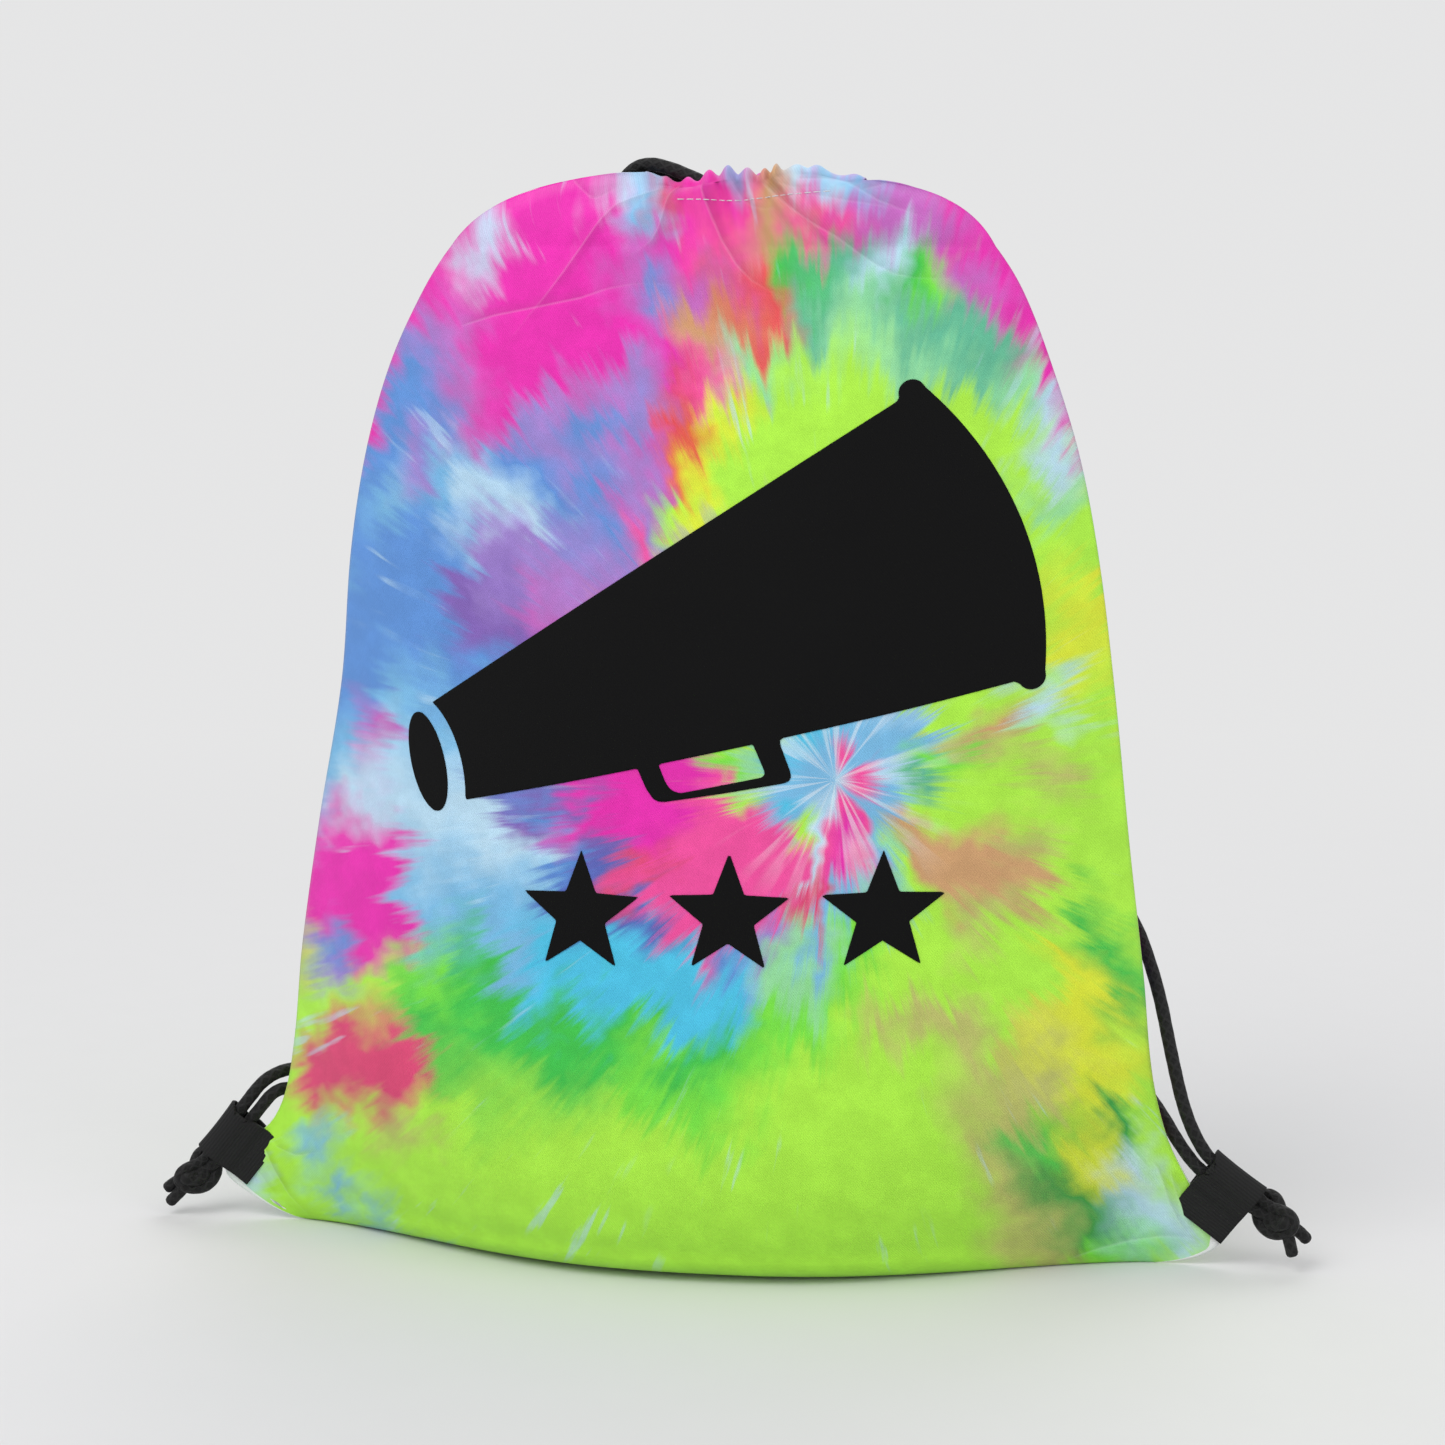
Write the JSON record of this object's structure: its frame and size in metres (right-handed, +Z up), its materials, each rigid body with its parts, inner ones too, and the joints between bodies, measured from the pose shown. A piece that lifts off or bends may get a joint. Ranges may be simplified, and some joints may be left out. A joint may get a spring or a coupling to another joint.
{
  "type": "drawstring backpack",
  "caption": "Drawstring backpack drawn closed, with a gathered mouth, cord straps through corner tabs and a printed megaphone.",
  "frame": {"origin": "on the floor at the middle of the flat base, under the bottom seam", "axes": "+Z up, -Y out of the printed front, +X to the viewer's right when facing the front"},
  "size_m": [0.4032, 0.1259, 0.3725],
  "materials": {
    "tie_dye_fabric": "woven polyester, spiral tie-dye in pink, blue, green, lime and white",
    "white_thread": "polyester sewing thread",
    "black_tape": "woven grosgrain tape",
    "black_cord": "braided polyester cord",
    "black_print": "matt flock print"
  },
  "bodies": {
    "bag": {"front_panel": "tie_dye_fabric", "back_panel": "tie_dye_fabric", "front_casing": "tie_dye_fabric", "back_casing": "tie_dye_fabric", "left_side_seam": "tie_dye_fabric", "right_side_seam": "tie_dye_fabric", "bottom_seam": "tie_dye_fabric", "front_casing_stitching": "white_thread", "back_casing_stitching": "white_thread", "left_corner_tab": "black_tape", "right_corner_tab": "black_tape", "left_cord_in_casing": "black_cord", "right_cord_in_casing": "black_cord", "megaphone_print": "black_print", "star_print": "black_print"},
    "left_outer_strand": {"left_strap_strand_a": "black_cord"},
    "left_inner_strand": {"left_strap_strand_b": "black_cord"},
    "right_outer_strand": {"right_strap_strand_a": "black_cord"},
    "right_inner_strand": {"right_strap_strand_b": "black_cord"},
    "left_knot_body": {"left_knot": "black_cord"},
    "right_knot_body": {"right_knot": "black_cord"}
  },
  "joints": [
    {"name": "left_strap_lift", "type": "hinge", "parent": "bag", "child": "left_inner_strand", "pos_m": [-0.028, 0.0045, 0.368], "axis": [0.3932, 0.0126, 0.9194], "range_deg": [0, 35]},
    {"name": "left_outer_strand_lift", "type": "hinge", "parent": "bag", "child": "left_outer_strand", "pos_m": [-0.028, -0.0045, 0.368], "axis": [0.4061, -0.0126, 0.9137], "range_deg": [0, 35]},
    {"name": "right_strap_lift", "type": "hinge", "parent": "bag", "child": "right_inner_strand", "pos_m": [0.052, 0.0045, 0.363], "axis": [0.3217, -0.013, -0.9468], "range_deg": [0, 35]},
    {"name": "right_outer_strand_lift", "type": "hinge", "parent": "bag", "child": "right_outer_strand", "pos_m": [0.052, -0.0045, 0.363], "axis": [0.3335, 0.0131, -0.9427], "range_deg": [0, 35]},
    {"name": "left_knot_slack", "type": "slide", "parent": "bag", "child": "left_knot_body", "axis": [-0.6198, 0, -0.7848], "range_m": [0, 0.008]},
    {"name": "right_knot_slack", "type": "slide", "parent": "bag", "child": "right_knot_body", "axis": [0.8, 0, -0.6], "range_m": [0, 0.008]}
  ],
  "couplings": [
    {"joint": "left_outer_strand_lift", "follows": "left_strap_lift", "ratio": 1},
    {"joint": "right_outer_strand_lift", "follows": "right_strap_lift", "ratio": 1}
  ]
}
